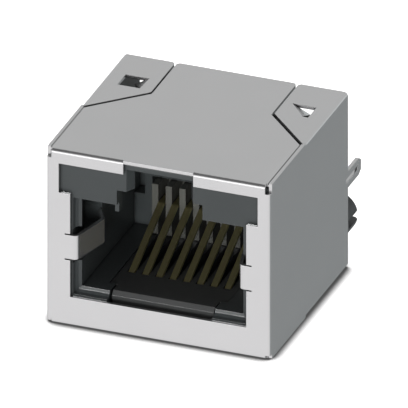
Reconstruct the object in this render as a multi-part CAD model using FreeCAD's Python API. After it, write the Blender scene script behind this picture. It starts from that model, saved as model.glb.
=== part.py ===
import FreeCAD, Part
import math
import os

# Shielded eight-way modular jack for a circuit board, upright type: the plug goes in at the
# front (-Y), the board is at the back (+Y), and the jack lies here on its bottom panel with
# the latch side up. All sizes are millimetres. While the pieces are drawn, Y runs back from
# the front plate's face; the finished pieces are moved so that the origin is under the middle.

V = FreeCAD.Vector

# Plug opening in the moulding
cavity_half = 5.99              # half the opening's width
cavity_floor = 2.8
cavity_height = 7.1
cavity_depth = 11.15            # from the front plate's face
lead_in = 0.43                  # how far the mouth's hollow rounding opens at its sides and floor
lead_in_depth = 0.6
lead_in_facets = 3

# Shield: one folded sheet round the moulding
sheet = 0.25
side_wall = 2.34                # from the opening's side to the shield's outside
top_room = 3.7                  # from the opening's ceiling to the shield's top
rear_room = 4.1                 # from the opening's rear wall to the shield's rear edge
fold_radius = 0.3               # outside radius of each fold
corner_relief_width = 0.4       # hole where three panels meet
corner_relief_depth = 0.35
corner_relief_top = 0.7
corner_relief_bottom = 0.3
seam_width = 0.06               # seam between a side panel's cut edge and the top or bottom panel
seam_depth = 0.1
flap_length = 8.3               # rear corner flap, folded from the side panel
flap_slit_start = 0.22          # the slit starts this far in front of the flap's fold
flap_straight = 4.9             # from the rear edge to the bend in the slit
flap_width_left = 3.92          # at the rear edge
flap_width_right = 3.72
flap_slit = 0.15
flap_slit_wide = 0.28           # its slanted stretch
flap_corner = 0.3               # rounding where the slit meets the rear edge

# Window in the front plate
window_margin = 0.12            # plate edge outside the mouth's rounding
window_step_rise = 0.37         # the step in its sides over the opening's ceiling
window_step_width = 0.85
window_top_edge = 1.07          # from the window's top to the shield's top
latch_notch_half = 2.6

# Side spring fingers of the shield
finger_rise = 2.35              # their lower slit over the opening's floor
finger_height = 1.95
finger_relief = 0.4             # how far the slits run into the plate
finger_slit = 0.1
finger_shoulder = 0.42          # how far it stands into the window before it bends back
finger_reach = 0.79             # how far it stands into the plug opening
finger_grip_depth = 3.3
finger_tip_flare = 0.69
finger_tip_run = 1.2
finger_bend = 0.15              # inside bend radius
finger_room = 0.35              # room round a finger in the moulding
finger_pocket_front = 0.95
finger_pocket_wall = 0.65       # plastic left between the pocket and the side panel

# Lance in each corner flap: a window with a pointed tongue bent inwards
lance_inset = 1.25              # from the shield's side
lance_width = 1.78
lance_from_rear = 2.92
lance_length = 1.63
lance_lean_left = 0.1           # the hinge runs from the inner rear corner, outwards by this much
lance_lean_right = 1.35
lance_reach_left = 1.3          # tongue's length along the window's rear edge
lance_reach_right = 1.55
lance_angle = 30

# Solder tabs on the side panels
tab_height = 6.8                # their middle over the bottom
tab_width = 1.3
tab_length = 2.55
tab_tip_length = 0.45
tab_tip_drop = 0.27
tab_slot_height = 0.35
tab_slot_before = 0.4
tab_slot_after = 1.9

# Housing: one black moulding
housing_clearance = 0.05        # between the moulding and the sheet round it
front_wall = 0.8                # wall with the keyway in it; the latch's chamber is behind
key_half_wide = 3.18
key_rise_wide = 1.15            # over the opening's ceiling
key_half_narrow = 2.475
key_taper = 0.37
key_taper_depth = 0.7
top_web = 0.5                   # plastic left over the keyway and the chamber
top_web_round = 0.25
guide_rib_width = 0.3           # rib under the ceiling at the left of the keyway
guide_rib_drop = 0.74
guide_rib_start = 0.75
guide_rib_length = 0.6
groove_inner_side = 1.2         # room beside the lance tongues in the grooves under them
groove_outer_side = 0.05
groove_front_side = 0.35
groove_depth_top = 2.4
groove_depth_bottom = 0.65
groove_wall = 0.3               # plastic left between the latch's chamber and the grooves
corner_pocket = 0.8             # pocket in each upper corner of the rear wall
corner_pocket_rise = 2.38
corner_pocket_depth = 1.2
bar_recess = 0.12               # gap in the lead-in round the carrier's front bar

# Locating pegs of the housing
peg_diameter = 3.25
peg_inset = 1.98                # from the shield's side to the peg's middle
peg_height = 2.6
peg_length = 3.1
peg_slot = 0.65
peg_slot_depth = 2.0
peg_chamfer = 0.25

# Contacts
contact_count = 8
contact_pitch = 1.016
contact_width = 0.46
contact_thickness = 0.22
contact_tip_depth = 4.25
contact_tip_sink = 0.2          # middle of the tip under the opening's floor
contact_rise = 2.44             # middle of the rear run over the opening's floor
contact_bend_lead = 0.13        # the bend lies this far in front of the comb
contact_bend_radius = 0.45
contact_row_half = 1.27         # half the distance between the two rows of solder tails
contact_tail = 3.2              # tail length behind the shield's rear edge
contact_jog_lead = 0.5          # from the comb's root to the bend towards the rows
contact_jog_run = 0.8
contact_slot_gap = 0.03         # room round a contact in the plastic that it passes through

# Comb that keeps the contacts apart
comb_reach = 1.02               # how far the teeth stand into the plug opening
comb_set_back = 1.05            # from the opening's rear wall to the root plate
comb_height = 3.86
comb_gap = 0.03                 # between its underside and the carrier's tongue
comb_tooth_width = 0.46
comb_root = 0.5                 # thickness of the plate that the teeth stand on
comb_margin = 1.05              # root plate outside the outer contacts' middle

# Contact carrier: a floor tongue with slots for the contact tips, and a block behind
carrier_gap = 0.04              # between the carrier and the moulding round it
carrier_sink = 0.06             # its floor lies this far under the opening's floor
carrier_thickness = 1.75
carrier_bar_margin = 0.23       # bar outside the outer contacts' middle
carrier_bar_front = 0.93
carrier_bar_chamfer = 0.3
carrier_tongue_margin = 0.8
carrier_tongue_front = 2.1
carrier_slot_lead = 0.15        # slot in front of the contact's tip
carrier_slot_width = 0.58
carrier_slot_depth = 0.6
carrier_block_margin = 1.35
carrier_block_rise = 5.6        # block's top over the opening's floor
carrier_block_inset = 0.3       # its rear face inside the shield's rear edge

half_width = cavity_half + side_wall
cavity_ceiling = cavity_floor + cavity_height
shield_height = cavity_ceiling + top_room
shield_depth = cavity_depth + rear_room
total_length = shield_depth + max(peg_length, contact_tail, tab_length)

window_low = cavity_floor - lead_in - window_margin
window_half_low = cavity_half + lead_in + window_margin
window_half_high = window_half_low + window_step_width
window_step = cavity_ceiling + window_step_rise
window_top = shield_height - window_top_edge
finger_low = cavity_floor + finger_rise
finger_high = finger_low + finger_height
finger_grip_half = cavity_half - finger_reach

lance_outer = half_width - lance_inset
lance_inner = lance_outer - lance_width
lance_rear = shield_depth - lance_from_rear
lance_front = lance_rear - lance_length
side_panel = half_width - sheet
flap_front = shield_depth - flap_length

housing_front = sheet + housing_clearance
wall_rear = housing_front + front_wall
chamber_top = shield_height - housing_front - top_web
chamber_rear = lance_front - groove_front_side - groove_wall
peg_middle = half_width - peg_inset

contact_span_half = (contact_count - 1) / 2 * contact_pitch
carrier_top = cavity_floor - carrier_sink
carrier_low = carrier_top - carrier_thickness
carrier_bar_half = contact_span_half + carrier_bar_margin
carrier_tongue_half = contact_span_half + carrier_tongue_margin
carrier_block_half = contact_span_half + carrier_block_margin
carrier_block_high = cavity_floor + carrier_block_rise
comb_half = contact_span_half + comb_margin
comb_low = carrier_top + comb_gap
comb_high = comb_low + comb_height
comb_front = cavity_depth - comb_reach
comb_root_front = cavity_depth + comb_set_back
comb_rear = comb_root_front + comb_root


def span(x_pair, y_pair, z_pair):
    """Box between two values along each axis."""
    size = [pair[1] - pair[0] for pair in (x_pair, y_pair, z_pair)]
    return Part.makeBox(size[0], size[1], size[2], V(x_pair[0], y_pair[0], z_pair[0]))


def face_of(points, to_space):
    """Flat face inside a closed outline of points in a plane."""
    corners = [to_space(u, v) for u, v in points]
    return Part.Face(Part.makePolygon(corners + corners[:1]))


def plane_xz(y):
    return lambda u, v: V(u, y, v)


def plane_yz(x):
    return lambda u, v: V(x, u, v)


def plane_xy(z):
    return lambda u, v: V(u, v, z)


def mirrored(shape):
    return shape.mirror(V(0, 0, 0), V(1, 0, 0))


def joined(shapes):
    return shapes[0].multiFuse(shapes[1:]).removeSplitter()


def strip_face(route, inside_radius, thickness, to_space):
    """Section of a sheet strip that follows a route, with a round bend at each inner point."""
    half = thickness / 2
    middle_radius = inside_radius + half
    steps = [(b[0] - a[0], b[1] - a[1]) for a, b in zip(route, route[1:])]
    heads = [(dx / math.hypot(dx, dy), dy / math.hypot(dx, dy)) for dx, dy in steps]
    sides = {1: [], -1: []}
    for side in sides:
        first = heads[0]
        here = (route[0][0] - first[1] * half * side, route[0][1] + first[0] * half * side)
        for corner, before, after in zip(route[1:-1], heads, heads[1:]):
            turn = math.asin(before[0] * after[1] - before[1] * after[0])
            way = math.copysign(1, turn)
            back = middle_radius * math.tan(abs(turn) / 2)
            start = (corner[0] - before[0] * back, corner[1] - before[1] * back)
            centre = (start[0] - before[1] * middle_radius * way,
                      start[1] + before[0] * middle_radius * way)
            radius = middle_radius - side * way * half
            arc = []
            for share in (0, 0.5, 1):
                angle = turn * share
                out_x = before[1] * way
                out_y = -before[0] * way
                arc.append((centre[0] + radius * (out_x * math.cos(angle) - out_y * math.sin(angle)),
                            centre[1] + radius * (out_x * math.sin(angle) + out_y * math.cos(angle))))
            sides[side].append(("line", here, arc[0]))
            sides[side].append(("arc", arc[0], arc[1], arc[2]))
            here = arc[2]
        last = heads[-1]
        end = (route[-1][0] - last[1] * half * side, route[-1][1] + last[0] * half * side)
        sides[side].append(("line", here, end))
    edges = []
    for side in sides:
        for piece in sides[side]:
            spots = [to_space(u, v) for u, v in piece[1:]]
            curve = Part.LineSegment(*spots) if piece[0] == "line" else Part.Arc(*spots)
            edges.append(curve.toShape())
    for end in (0, -1):
        tips = [sides[side][end][1 if end == 0 else -1] for side in sides]
        edges.append(Part.LineSegment(to_space(*tips[0]), to_space(*tips[1])).toShape())
    return Part.Face(Part.Wire(Part.__sortEdges__(edges)))


def rounded(box, radius, chosen):
    """Box with a fillet on the edges that a test picks by their start and direction."""
    edges = [edge for edge in box.Edges
             if chosen(edge.Vertexes[0].Point, edge.tangentAt(edge.FirstParameter))]
    return box.makeFillet(radius, edges)


def front_box():
    """Front part: a plate folded back on all four sides into panels that meet square."""
    def at_front(start, way):
        return start.y < fold_radius and abs(way.y) < 0.1

    outer = span((-half_width, half_width), (0, flap_front), (0, shield_height))
    inner = span((-side_panel, side_panel), (sheet, flap_front), (sheet, shield_height - sheet))
    return rounded(outer, fold_radius, at_front).cut(rounded(inner, fold_radius - sheet, at_front))


def rear_tube():
    """Rear part: four panels joined by the folds of the corner flaps."""
    def along(start, way):
        return abs(way.y) > 0.9

    length = (flap_front, shield_depth)
    outer = span((-half_width, half_width), length, (0, shield_height))
    inner = span((-side_panel, side_panel), length, (sheet, shield_height - sheet))
    return rounded(outer, fold_radius, along).cut(rounded(inner, fold_radius - sheet, along))


def front_openings():
    """Window in the plate, holes in its corners and slits beside the spring fingers."""
    window = face_of([(-window_half_low, window_low), (window_half_low, window_low),
                      (window_half_low, window_step), (window_half_high, window_step),
                      (window_half_high, window_top), (latch_notch_half, window_top),
                      (latch_notch_half, shield_height), (-latch_notch_half, shield_height),
                      (-latch_notch_half, window_top), (-window_half_high, window_top),
                      (-window_half_high, window_step), (-window_half_low, window_step)],
                     plane_xz(0))
    openings = [window.extrude(V(0, fold_radius, 0))]
    edge_in = half_width - corner_relief_width
    for z_pair in ((0, corner_relief_bottom), (shield_height - corner_relief_top, shield_height)):
        relief = span((edge_in, half_width), (0, corner_relief_depth), z_pair)
        openings += [relief, mirrored(relief)]
    for z in (finger_low, finger_high):
        slot = span((window_half_low, window_half_low + finger_relief), (0, sheet),
                    (z - finger_slit / 2, z + finger_slit / 2))
        openings += [slot, mirrored(slot)]
    return openings


def spring_finger():
    """Right-hand finger: out of the plate, back into the opening, and out again at its tip."""
    shoulder = window_half_low - finger_shoulder
    route = [(window_half_low, sheet / 2), (shoulder, sheet / 2),
             (finger_grip_half + sheet / 2, finger_grip_depth),
             (finger_grip_half + sheet / 2 + finger_tip_flare, finger_grip_depth + finger_tip_run)]
    low = finger_low + finger_slit / 2
    high = finger_high - finger_slit / 2
    return strip_face(route, finger_bend, sheet, plane_xy(low)).extrude(V(0, 0, high - low))


def flap_slit_room(z_pair, width):
    """Slit between a right-hand rear corner flap of a given width and the panel beside it."""
    inner = half_width - width
    bend = shield_depth - flap_straight
    slanted = strip_face([(side_panel, flap_front - flap_slit_start), (inner, bend)], 0,
                         flap_slit_wide, plane_xy(z_pair[0]))
    straight = span((inner - flap_slit / 2, inner + flap_slit / 2), (bend, shield_depth), z_pair)
    return slanted.extrude(V(0, 0, z_pair[1] - z_pair[0])).fuse(straight)


def flap_exits(body):
    """Upright edges where the flap slits run out at the rear edge."""
    exits = []
    for edge in body.Edges:
        middle = edge.CenterOfMass
        beside = [abs(abs(half_width - abs(middle.x) - width) - flap_slit / 2)
                  for width in (flap_width_left, flap_width_right)]
        upright = abs(edge.BoundBox.ZLength - sheet) < housing_clearance
        if upright and abs(middle.y - shield_depth) < housing_clearance and min(beside) < 1e-6:
            exits.append(edge)
    return exits


def lance_window(side_z, lean):
    """Opening of a right-hand lance, as a face at one height."""
    return face_of([(lance_inner, lance_rear), (lance_inner + lean, lance_front),
                    (lance_outer, lance_front), (lance_outer, lance_rear)], plane_xy(side_z))


def lance_tongue(side_z, lean, reach, inward):
    """Right-hand tongue, hinged on the window's inner side and bent into the jack."""
    hinge_a = V(lance_inner, lance_rear, side_z)
    hinge_b = V(lance_inner + lean, lance_front, side_z)
    tip = V(lance_inner + reach, lance_rear, side_z)
    triangle = Part.Face(Part.makePolygon([hinge_a, hinge_b, tip, hinge_a]))
    tongue = triangle.extrude(V(0, 0, -inward * sheet))
    return tongue.rotate(hinge_a, hinge_b - hinge_a, -inward * lance_angle)


def solder_tab():
    """Right-hand solder tab: a tongue of the side panel with a long slot and cut corners."""
    tip = shield_depth + tab_length
    low = tab_height - tab_width / 2
    high = tab_height + tab_width / 2
    outline = [(shield_depth - tab_slot_before, low), (tip - tab_tip_length, low),
               (tip, low + tab_tip_drop), (tip, high - tab_tip_drop),
               (tip - tab_tip_length, high), (shield_depth - tab_slot_before, high)]
    return face_of(outline, plane_yz(half_width - sheet)).extrude(V(sheet, 0, 0))


def tab_slot():
    radius = tab_slot_height / 2
    starts = shield_depth - tab_slot_before + radius
    ends = shield_depth + tab_slot_after - radius
    slot = span((half_width - sheet, half_width), (starts, ends),
                (tab_height - radius, tab_height + radius))
    for y in (starts, ends):
        end = Part.makeCylinder(radius, sheet, V(half_width - sheet, y, tab_height), V(1, 0, 0))
        slot = slot.fuse(end)
    return slot


def panel_cuts(low, face, inward):
    """Cuts in the top or the bottom panel: its seams, its slits and its lances."""
    tall = (low - fold_radius, low + sheet + fold_radius)
    cuts = [flap_slit_room(tall, flap_width_right), mirrored(flap_slit_room(tall, flap_width_left))]
    depth = sorted((face, face - inward * seam_depth))
    seam = span((side_panel - seam_width, side_panel), (fold_radius, flap_front), depth)
    cuts += [seam, mirrored(seam)]
    cuts.append(lance_window(low, lance_lean_right).extrude(V(0, 0, sheet)))
    cuts.append(mirrored(lance_window(low, lance_lean_left).extrude(V(0, 0, sheet))))
    return cuts


def shield():
    cuts = panel_cuts(shield_height - sheet, shield_height, 1) + panel_cuts(0, 0, -1)
    body = front_box().fuse(rear_tube()).cut(Part.makeCompound(cuts))
    body = body.cut(Part.makeCompound(front_openings()))
    body = body.makeFillet(flap_corner, flap_exits(body))
    lip = span((-latch_notch_half, latch_notch_half), (0, fold_radius),
               (shield_height - sheet, shield_height))
    pieces = [body, lip]
    for side_z, inward in ((shield_height, 1), (0, -1)):
        pieces.append(lance_tongue(side_z, lance_lean_right, lance_reach_right, inward))
        pieces.append(mirrored(lance_tongue(side_z, lance_lean_left, lance_reach_left, inward)))
    for shape in (spring_finger(), solder_tab()):
        pieces += [shape, mirrored(shape)]
    whole = joined(pieces)
    return whole.cut(Part.makeCompound([tab_slot(), mirrored(tab_slot())]))


def housing_block():
    """Outer form of the moulding, rounded like the folds round it, and along its top front edge."""
    side = half_width - housing_front
    top = shield_height - housing_front
    block = span((-side, side), (housing_front, shield_depth), (housing_front, top))
    along = [edge for edge in block.Edges if abs(edge.tangentAt(edge.FirstParameter).y) > 0.9]
    block = block.makeChamfer(fold_radius / 2, along)
    front_top = [edge for edge in block.Edges
                 if edge.CenterOfMass.isEqual(V(0, housing_front, top), 1e-6)]
    return block.makeFillet(top_web_round, front_top)


def plug_cavity():
    """Room for the plug with its flared mouth, the stepped keyway and the latch's chamber."""
    def section(y, half, low, high):
        return Part.makePolygon([V(-half, y, low), V(half, y, low), V(half, y, high),
                                 V(-half, y, high), V(-half, y, low)])

    rooms = []
    turns = [math.pi / 2 * step / lead_in_facets for step in range(lead_in_facets + 1)]
    flare = [(lead_in_depth * math.sin(turn), lead_in * math.cos(turn)) for turn in turns]
    for before, after in zip(flare, flare[1:]):
        ends = [section(housing_front + depth, cavity_half + grow, cavity_floor - grow, cavity_ceiling)
                for depth, grow in (before, after)]
        rooms.append(Part.makeLoft(ends, True, True))
    rooms.append(span((-cavity_half, cavity_half), (housing_front + lead_in_depth, cavity_depth),
                      (cavity_floor, cavity_ceiling)))
    rooms.append(span((-cavity_half, cavity_half), (wall_rear, chamber_rear),
                      (cavity_ceiling, chamber_top)))
    step_top = cavity_ceiling + key_rise_wide
    rooms.append(span((-key_half_wide, key_half_wide), (housing_front, wall_rear),
                      (cavity_ceiling, step_top)))
    taper = [section(housing_front + depth, half, step_top, chamber_top)
             for depth, half in ((0, key_half_narrow), (key_taper_depth, key_half_narrow - key_taper))]
    rooms.append(Part.makeLoft(taper, True, True))
    rooms.append(span((key_taper - key_half_narrow, key_half_narrow - key_taper),
                      (housing_front + key_taper_depth, wall_rear), (step_top, chamber_top)))
    return rooms[0].multiFuse(rooms[1:])


def tongue_room():
    """Room in the moulding for the carrier's floor tongue, its front bar and its block."""
    gap = carrier_gap
    low = carrier_low - gap
    bar = span((-carrier_bar_half - bar_recess, carrier_bar_half + bar_recess),
               (housing_front, carrier_tongue_front + gap), (low, cavity_floor))
    tongue = span((-carrier_tongue_half - gap, carrier_tongue_half + gap),
                  (carrier_tongue_front - gap, cavity_depth), (low, cavity_floor))
    block = span((-carrier_block_half - gap, carrier_block_half + gap),
                 (comb_root_front - gap, shield_depth), (low, carrier_block_high + gap))
    window = span((-comb_half - gap, comb_half + gap), (comb_front, comb_root_front),
                  (low, comb_high + gap))
    return bar.multiFuse([tongue, block, window])


def finger_pocket():
    """Room in the right-hand cavity wall for the shield's spring finger to give way."""
    inner = finger_grip_half
    low = finger_low - finger_room
    passage = span((inner, window_half_low - finger_shoulder + sheet + finger_slit),
                   (housing_front, finger_pocket_front), (low, finger_high + finger_room))
    pocket = span((inner, half_width - housing_front - finger_pocket_wall),
                  (finger_pocket_front, finger_grip_depth + finger_tip_run + finger_room),
                  (low, cavity_ceiling))
    return passage.fuse(pocket)


def lance_groove(low, high):
    """Groove for one right-hand lance tongue, open to the rear."""
    return span((lance_inner - groove_inner_side, lance_outer + groove_outer_side),
                (lance_front - groove_front_side, shield_depth), (low, high))


def locating_peg():
    """Right-hand peg: round, split by a slot from its tip, which is chamfered."""
    peg = Part.makeCylinder(peg_diameter / 2, peg_length, V(peg_middle, shield_depth, peg_height),
                            V(0, 1, 0))
    tip = max(peg.Edges, key=lambda edge: edge.CenterOfMass.y)
    peg = peg.makeChamfer(peg_chamfer, [tip])
    end = shield_depth + peg_length
    slot = span((peg_middle - peg_diameter, peg_middle + peg_diameter), (end - peg_slot_depth, end),
                (peg_height - peg_slot / 2, peg_height + peg_slot / 2))
    return peg.cut(slot)


def guide_rib():
    """Rib under the ceiling, at the left of the keyway, on the front wall."""
    return span((-key_half_wide - guide_rib_width, -key_half_wide),
                (guide_rib_start, guide_rib_start + guide_rib_length),
                (cavity_ceiling - guide_rib_drop, cavity_ceiling + guide_rib_drop))


def housing():
    block = housing_block().cut(plug_cavity())
    cuts = [tongue_room(), finger_pocket(), mirrored(finger_pocket())]
    top = shield_height - housing_front
    under = lance_groove(housing_front, housing_front + groove_depth_bottom)
    over = lance_groove(top - groove_depth_top, top)
    cuts += [under, mirrored(under), over, mirrored(over)]
    corner = span((cavity_half - corner_pocket, cavity_half),
                  (comb_front, cavity_depth + corner_pocket_depth),
                  (cavity_floor + corner_pocket_rise, cavity_ceiling))
    cuts += [corner, mirrored(corner)]
    for cutter in cuts:
        block = block.cut(cutter)
    return joined([block, locating_peg(), mirrored(locating_peg()), guide_rib()])


def contact_centre(number):
    return (number - (contact_count + 1) / 2) * contact_pitch


def contact_route(number):
    """Middle line of a contact from its free tip to the end of its solder tail."""
    row = contact_row_half if number % 2 else -contact_row_half
    level = cavity_floor + contact_rise
    jog_start = comb_rear + contact_jog_lead
    jog_end = jog_start + contact_jog_run
    return [(contact_tip_depth, cavity_floor - contact_tip_sink),
            (comb_front - contact_bend_lead, level), (jog_start, level), (jog_end, level + row),
            (shield_depth + contact_tail, level + row)]


def contact(number, grow=0.0):
    """Contact blade bent from strip; grow makes the room that it needs in the plastic."""
    width = contact_width + 2 * grow
    left = contact_centre(number) - width / 2
    section = strip_face(contact_route(number), contact_bend_radius - grow,
                         contact_thickness + 2 * grow, plane_yz(left))
    return section.extrude(V(width, 0, 0))


def contact_rooms():
    return Part.makeCompound([contact(number, contact_slot_gap)
                              for number in range(1, contact_count + 1)])


def contact_carrier():
    bar = span((-carrier_bar_half, carrier_bar_half), (carrier_bar_front, carrier_tongue_front),
               (carrier_low, carrier_top))
    edge = [line for line in bar.Edges
            if line.CenterOfMass.isEqual(V(0, carrier_bar_front, carrier_top), 1e-6)]
    bar = bar.makeChamfer(carrier_bar_chamfer, edge)
    block_front = comb_rear + carrier_gap
    tongue = span((-carrier_tongue_half, carrier_tongue_half), (carrier_tongue_front, block_front),
                  (carrier_low, carrier_top))
    block = span((-carrier_block_half, carrier_block_half),
                 (block_front, shield_depth - carrier_block_inset), (carrier_low, carrier_block_high))
    body = joined([bar, tongue, block])
    for number in range(1, contact_count + 1):
        middle = contact_centre(number)
        body = body.cut(span((middle - carrier_slot_width / 2, middle + carrier_slot_width / 2),
                             (contact_tip_depth - carrier_slot_lead, comb_front),
                             (carrier_top - carrier_slot_depth, carrier_top)))
    return body.cut(contact_rooms())


def contact_comb():
    root = span((-comb_half, comb_half), (comb_root_front, comb_rear), (comb_low, comb_high))
    teeth = []
    for number in range(contact_count + 1):
        middle = contact_centre(number) + contact_pitch / 2
        teeth.append(span((middle - comb_tooth_width / 2, middle + comb_tooth_width / 2),
                          (comb_front, comb_root_front), (comb_low, comb_high)))
    return joined([root] + teeth).cut(contact_rooms())


pieces = {"shield": shield(), "housing": housing(), "contact_carrier": contact_carrier(),
          "contact_comb": contact_comb()}
for number in range(1, contact_count + 1):
    pieces["contact_" + str(number)] = contact(number)

os.makedirs("parts", exist_ok=True)
for name, shape in pieces.items():
    shape.translate(V(0, -total_length / 2, 0))
    shape.exportStep("parts/" + name + ".step")
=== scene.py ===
import math

import bpy
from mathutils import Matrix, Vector


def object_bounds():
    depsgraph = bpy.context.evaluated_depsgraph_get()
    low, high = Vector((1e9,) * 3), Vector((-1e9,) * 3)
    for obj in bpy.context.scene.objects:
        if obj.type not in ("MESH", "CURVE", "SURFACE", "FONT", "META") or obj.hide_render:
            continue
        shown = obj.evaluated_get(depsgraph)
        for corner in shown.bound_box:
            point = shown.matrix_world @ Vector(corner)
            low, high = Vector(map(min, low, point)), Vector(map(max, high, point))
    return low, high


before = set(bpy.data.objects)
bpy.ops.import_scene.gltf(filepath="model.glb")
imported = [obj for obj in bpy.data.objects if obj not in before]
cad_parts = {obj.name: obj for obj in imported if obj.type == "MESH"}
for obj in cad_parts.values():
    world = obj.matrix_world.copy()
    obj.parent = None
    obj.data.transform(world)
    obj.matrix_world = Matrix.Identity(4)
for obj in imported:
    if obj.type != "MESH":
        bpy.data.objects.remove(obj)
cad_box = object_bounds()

MM = 0.001

# The view is a parallel one. Its angles and scale are measured on the photograph: the contact
# pitch gives the pixels for a millimetre, and the picture is 408 pixels wide.
VIEW_AZIMUTH = 20.76
VIEW_ELEVATION = 27.3
PIXELS_WIDE = 408
PIXELS_PER_MM = 14.4
VIEW_TARGET = (0.02 * MM, -0.285 * MM, 6.4 * MM)
CAMERA_DISTANCE = 0.3
CAMERA_CLIP = (0.001, 10.0)

# Ground: its reach to each side, and how far it lies under the jack
FLOOR_REACH = 2.0
FLOOR_DROP = 0.02 * MM

# Width of the painted soft shadow line on the ground along the jack's lower edges, and the lean
# of the occlusion that paints it, which widens the line at the right and takes it away at the left
FLOOR_SHADOW_REACH = 1.15 * MM
PAINTED_SHADOW_LEAN = (-0.1, 0.0, 0.99)

# The ground goes from its dark painted-shadow tone to its pale tone between these shares of open
# surroundings
FLOOR_OPENNESS = (0.5, 0.88)
FLOOR_SHADOW_AND_PALE_TONES = (0.06, 0.95)

# Light of the ground itself, as of a lit table, which keeps the lamps' long shadows off it
FLOOR_GLOW = 0.75

# Painted crevice shade goes from darkest to the full colour between these shares of open
# surroundings
CREVICE_OPENNESS = (0.35, 0.9)

# Span that most of a noise lies in, and the detail of the noise for slow changes of tone
NOISE_SPAN = (0.3, 0.7)
CLOUD_DETAIL = 2.0

# Rays for each point of a rounded edge, of a crevice and of the ground
EDGE_SAMPLES = 8
CREVICE_SAMPLES = 8
FLOOR_SAMPLES = 16

# Edges sharper than this angle are broken, in this number of steps
BROKEN_ANGLE = math.radians(35)
BROKEN_STEPS = 2

# Middle of the dim part of the surround, which the right side panel mirrors
DIM_DIRECTION = (0.354, 0.935, 0.0)

# Tints of the surround: ahead of the jack, and behind it low down and high up
TINT_AHEAD = (1.0, 0.975, 0.985, 1.0)
TINT_BEHIND_LOW = (0.955, 1.0, 1.01, 1.0)
TINT_BEHIND_HIGH = (1.0, 0.995, 0.993, 1.0)

# What the streak adds where it crosses the band along the horizon, as a multiple of that band
GLARE_GAIN = 3.2


def put(tree, socket, value):
    """Link another node's output to the socket, or set a plain value on it."""
    if isinstance(value, bpy.types.NodeSocket):
        tree.links.new(value, socket)
    else:
        socket.default_value = value


def node_tree(name):
    """New material whose surface is one shader."""
    material = bpy.data.materials.new(name)
    material.use_nodes = True
    tree = material.node_tree
    tree.nodes.clear()
    output = tree.nodes.new("ShaderNodeOutputMaterial")
    shader = tree.nodes.new("ShaderNodeBsdfPrincipled")
    tree.links.new(shader.outputs["BSDF"], output.inputs["Surface"])
    return material, tree, shader


def mapped(tree, source, span, ends, interpolation="LINEAR"):
    """Map the source's span to the two ends, and hold it there beyond the span."""
    node = tree.nodes.new("ShaderNodeMapRange")
    node.interpolation_type = interpolation
    for socket, value in zip(("From Min", "From Max", "To Min", "To Max"), (*span, *ends)):
        node.inputs[socket].default_value = value
    tree.links.new(source, node.inputs["Value"])
    return node.outputs["Result"]


def mixed(tree, kind, factor, first, second):
    """Go from the first to the second with the factor; kind is FLOAT or RGBA."""
    node = tree.nodes.new("ShaderNodeMix")
    node.data_type = kind
    put(tree, node.inputs["Factor"], factor)
    put(tree, node.inputs["A"], first)
    put(tree, node.inputs["B"], second)
    return node.outputs["Result"]


def calculated(tree, operation, first, second):
    """One step of arithmetic."""
    node = tree.nodes.new("ShaderNodeMath")
    node.operation = operation
    put(tree, node.inputs[0], first)
    put(tree, node.inputs[1], second)
    return node.outputs["Value"]


def noise(tree, scale, detail):
    """Noise in the object's own space, in cycles for each millimetre."""
    place = tree.nodes.new("ShaderNodeTexCoord")
    texture = tree.nodes.new("ShaderNodeTexNoise")
    texture.inputs["Scale"].default_value = scale / MM
    texture.inputs["Detail"].default_value = detail
    tree.links.new(place.outputs["Object"], texture.inputs["Vector"])
    return texture.outputs["Fac"]


def relief(tree, source, depth_mm, edge_mm):
    """Fine relief of a given depth, on edges that look rounded to a radius."""
    soft = tree.nodes.new("ShaderNodeBevel")
    soft.samples = EDGE_SAMPLES
    soft.inputs["Radius"].default_value = edge_mm * MM
    bump = tree.nodes.new("ShaderNodeBump")
    bump.inputs["Distance"].default_value = depth_mm * MM
    tree.links.new(source, bump.inputs["Height"])
    tree.links.new(soft.outputs["Normal"], bump.inputs["Normal"])
    return bump.outputs["Normal"]


def openness(tree, reach, samples, own_only=False):
    """Node for the share of the surroundings left open within reach, by this piece or by any."""
    node = tree.nodes.new("ShaderNodeAmbientOcclusion")
    node.samples = samples
    node.only_local = own_only
    node.inputs["Distance"].default_value = reach
    return node


def painted_crevice_shade(tree, colour, reach_mm, darkest, own_only):
    """The colour with shade painted in: darkened where surfaces stand within reach."""
    near = openness(tree, reach_mm * MM, CREVICE_SAMPLES, own_only)
    scaled = tree.nodes.new("ShaderNodeVectorMath")
    scaled.operation = "SCALE"
    tree.links.new(colour, scaled.inputs["Vector"])
    tree.links.new(mapped(tree, near.outputs["AO"], CREVICE_OPENNESS, (darkest, 1.0)),
                   scaled.inputs["Scale"])
    return scaled.outputs["Vector"]


def surface(name, clouds, grain, tones, roughness, relief_mm, edge_mm, crevice_shading=None):
    """Material whose tone wanders in clouds, with a fine grain in its gloss and its relief.

    clouds is the scale of the one noise, grain the scale and detail of the other, tones and
    roughness are pairs of ends, and the last holds the arguments for the shade painted into
    crevices.
    """
    material, tree, shader = node_tree(name)
    fine = noise(tree, *grain)
    dark, light = ((*tone, 1.0) for tone in tones)
    colour = mixed(tree, "RGBA", noise(tree, clouds, CLOUD_DETAIL), dark, light)
    if crevice_shading:
        colour = painted_crevice_shade(tree, colour, *crevice_shading)
    tree.links.new(colour, shader.inputs["Base Color"])
    tree.links.new(mapped(tree, fine, NOISE_SPAN, roughness), shader.inputs["Roughness"])
    tree.links.new(relief(tree, fine, relief_mm, edge_mm), shader.inputs["Normal"])
    return material, shader


def plated_sheet():
    # The last argument paints shade into the sheet's own slits, cut edges and narrow gaps
    material, shader = surface(
        "plated_sheet", clouds=0.25, grain=(9.0, 4.0),
        tones=((0.59, 0.599, 0.602), (0.622, 0.627, 0.63)), roughness=(0.19, 0.23),
        relief_mm=0.0015, edge_mm=0.06, crevice_shading=(0.2, 0.05, True))
    shader.inputs["Metallic"].default_value = 0.935
    return material


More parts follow.
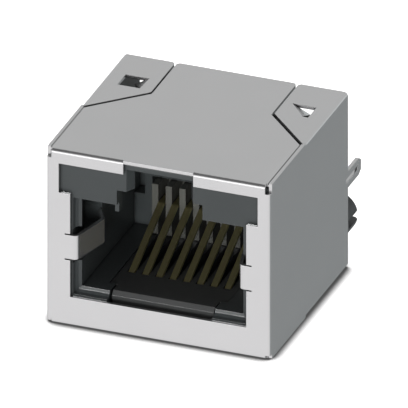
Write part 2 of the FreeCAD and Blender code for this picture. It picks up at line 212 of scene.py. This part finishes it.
def gold_strip():
    material, shader = surface(
        "gold_strip", clouds=0.6, grain=(12.0, 3.0),
        tones=((0.5, 0.46, 0.23), (0.56, 0.51, 0.26)), roughness=(0.28, 0.36),
        relief_mm=0.001, edge_mm=0.03)
    shader.inputs["Metallic"].default_value = 0.95
    return material


def moulded_plastic(name, tones, roughness):
    # The last argument paints shade where the plastic stands near any surface, in recesses and
    # between parts
    material, shader = surface(
        name, clouds=0.4, grain=(14.0, 4.0), tones=tones, roughness=roughness,
        relief_mm=0.002, edge_mm=0.05, crevice_shading=(0.35, 0.3, False))
    shader.inputs["Specular IOR Level"].default_value = 0.25
    return material


def dress(name, material, edge_mm):
    """Give a carried-over piece its material and softly broken edges."""
    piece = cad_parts[name]
    piece.data.materials.clear()
    piece.data.materials.append(material)
    edges = piece.modifiers.new("broken_edges", "BEVEL")
    edges.width = edge_mm * MM
    edges.segments = BROKEN_STEPS
    edges.limit_method = "ANGLE"
    edges.angle_limit = BROKEN_ANGLE
    edges.harden_normals = True


def dress_pieces():
    black = moulded_plastic(
        "black_moulding", ((0.0215, 0.0247, 0.0251), (0.0251, 0.0282, 0.0288)), (0.28, 0.34))
    insert = moulded_plastic(
        "black_insert", ((0.021, 0.022, 0.022), (0.026, 0.027, 0.027)), (0.34, 0.42))
    # The comb's lighter tone is painted light: a lighter copy of the black moulding, standing in
    # for the light the comb teeth catch
    lighter_comb = moulded_plastic(
        "comb_painted_lighter", ((0.045, 0.046, 0.041), (0.054, 0.055, 0.05)), (0.34, 0.42))
    gold = gold_strip()
    dress("shield", plated_sheet(), 0.05)
    dress("housing", black, 0.05)
    dress("contact_carrier", insert, 0.03)
    dress("contact_comb", lighter_comb, 0.03)
    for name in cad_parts:
        if name.startswith("contact_") and name.split("_")[1].isdigit():
            dress(name, gold, 0.02)


def pale_floor():
    """Plain white ground under the jack, with a soft shadow line painted along its lower edges."""
    mesh = bpy.data.meshes.new("floor")
    level = cad_box[0][2] - FLOOR_DROP
    corners = [(FLOOR_REACH * x, FLOOR_REACH * y, level)
               for x, y in ((-1, -1), (1, -1), (1, 1), (-1, 1))]
    mesh.from_pydata(corners, [], [(0, 1, 2, 3)])
    floor = bpy.data.objects.new("floor", mesh)
    bpy.context.scene.collection.objects.link(floor)
    material, tree, shader = node_tree("pale_ground")
    near = openness(tree, FLOOR_SHADOW_REACH, FLOOR_SAMPLES)
    lean = tree.nodes.new("ShaderNodeCombineXYZ")
    for axis, amount in zip("XYZ", PAINTED_SHADOW_LEAN):
        lean.inputs[axis].default_value = amount
    tree.links.new(lean.outputs["Vector"], near.inputs["Normal"])
    # Painted shadow: the ground's colour and glow darken where the jack stands near
    tone = mapped(tree, near.outputs["AO"], FLOOR_OPENNESS, FLOOR_SHADOW_AND_PALE_TONES)
    tree.links.new(tone, shader.inputs["Base Color"])
    tree.links.new(tone, shader.inputs["Emission Color"])
    shader.inputs["Emission Strength"].default_value = FLOOR_GLOW
    shader.inputs["Roughness"].default_value = 0.9
    shader.inputs["Specular IOR Level"].default_value = 0.0
    mesh.materials.append(material)
    floor.visible_glossy = False


def distant_lamp(name, energy, spread, azimuth, elevation, mirrored):
    """Soft lamp far off, at angles in degrees from the jack's front, seen in gloss or not."""
    lamp = bpy.data.lights.new(name, "SUN")
    lamp.energy = energy
    lamp.angle = math.radians(spread)
    lamp.cycles.use_multiple_importance_sampling = False
    holder = bpy.data.objects.new(name, lamp)
    bpy.context.scene.collection.objects.link(holder)
    holder.rotation_euler = (math.radians(90 - elevation), 0.0, math.radians(azimuth))
    holder.visible_glossy = mirrored
    return holder


def lamps():
    """Lamps from above and from the front, and one that only glints along the plastics' edges."""
    distant_lamp("overhead", 0.6, 40, 0, 90, mirrored=False)
    distant_lamp("from_the_front", 6.0, 20, 6, 4, mirrored=False)
    glint = distant_lamp("edge_glint", 5.0, 6, -21.2, 29.3, mirrored=True)
    glint.visible_diffuse = False
    plastics = bpy.data.collections.new("plastics")
    for name in ("housing", "contact_carrier", "contact_comb"):
        plastics.objects.link(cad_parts[name])
    glint.light_linking.receiver_collection = plastics


def surround():
    """Soft light from all round, dim behind, with one bright and dark streak for the folds."""
    world = bpy.data.worlds.new("studio")
    bpy.context.scene.world = world
    world.use_nodes = True
    tree = world.node_tree
    tree.nodes.clear()
    output = tree.nodes.new("ShaderNodeOutputWorld")
    back = tree.nodes.new("ShaderNodeBackground")
    tree.links.new(back.outputs["Background"], output.inputs["Surface"])
    direction = tree.nodes.new("ShaderNodeTexCoord").outputs["Generated"]
    split = tree.nodes.new("ShaderNodeSeparateXYZ")
    tree.links.new(direction, split.inputs["Vector"])
    across, along, height = (split.outputs[axis] for axis in "XYZ")

    def eased(source, span, ends):
        return mapped(tree, source, span, ends, "SMOOTHSTEP")

    def product(first, second):
        return calculated(tree, "MULTIPLY", first, second)

    def total(first, second):
        return calculated(tree, "ADD", first, second)

    # Ahead it gets dimmer high up and at the right, behind it gets brighter with height
    ahead = product(eased(height, (0.4, 0.56), (0.95, 0.55)),
                    eased(across, (0.5, 0.85), (1.0, 0.86)))
    behind = eased(height, (-0.25, 0.35), (0.3, 0.65))
    aim = tree.nodes.new("ShaderNodeVectorMath")
    aim.operation = "DOT_PRODUCT"
    aim.inputs[1].default_value = DIM_DIRECTION
    tree.links.new(direction, aim.inputs[0])
    toward_back = eased(aim.outputs["Value"], (-0.05, 0.45), (0.0, 1.0))
    soft = mixed(tree, "FLOAT", toward_back, ahead, behind)

    # Weak band along the horizon
    horizon = product(eased(height, (-0.28, -0.14), (0.0, 0.35)),
                      eased(height, (0.06, 0.22), (1.0, 0.0)))

    # Slim streak ahead at the left, which the upper fold of the front plate mirrors in the
    # photograph: it glares where it crosses the horizon, and is dark high up
    slim = product(eased(across, (-0.54, -0.45), (0.0, 1.0)),
                   eased(across, (-0.18, -0.1), (1.0, 0.0)))
    streak = product(slim, eased(along, (0.05, 0.2), (1.0, 0.0)))
    glare = product(product(horizon, streak), GLARE_GAIN)
    shade = product(streak, eased(height, (0.4, 0.56), (0.0, 1.0)))
    shaded = product(soft, eased(shade, (0.0, 1.0), (1.0, 0.03)))
    tree.links.new(total(total(shaded, horizon), glare), back.inputs["Strength"])

    high_up = eased(height, (-0.25, 0.35), (0.0, 1.0))
    tint_behind = mixed(tree, "RGBA", high_up, TINT_BEHIND_LOW, TINT_BEHIND_HIGH)
    tree.links.new(mixed(tree, "RGBA", toward_back, TINT_AHEAD, tint_behind), back.inputs["Color"])


def view():
    """Camera at the photograph's angle and scale."""
    azimuth = math.radians(VIEW_AZIMUTH)
    elevation = math.radians(VIEW_ELEVATION)
    level = math.cos(elevation)
    back = Vector((math.sin(azimuth) * level, -math.cos(azimuth) * level, math.sin(elevation)))
    data = bpy.data.cameras.new("camera")
    data.type = "ORTHO"
    data.ortho_scale = PIXELS_WIDE / PIXELS_PER_MM * MM
    data.clip_start, data.clip_end = CAMERA_CLIP
    camera = bpy.data.objects.new("camera", data)
    bpy.context.scene.collection.objects.link(camera)
    camera.location = Vector(VIEW_TARGET) + back * CAMERA_DISTANCE
    camera.rotation_euler = back.to_track_quat("Z", "Y").to_euler()
    bpy.context.scene.camera = camera


dress_pieces()
pale_floor()
surround()
lamps()
view()
bpy.context.scene.view_settings.view_transform = "Standard"
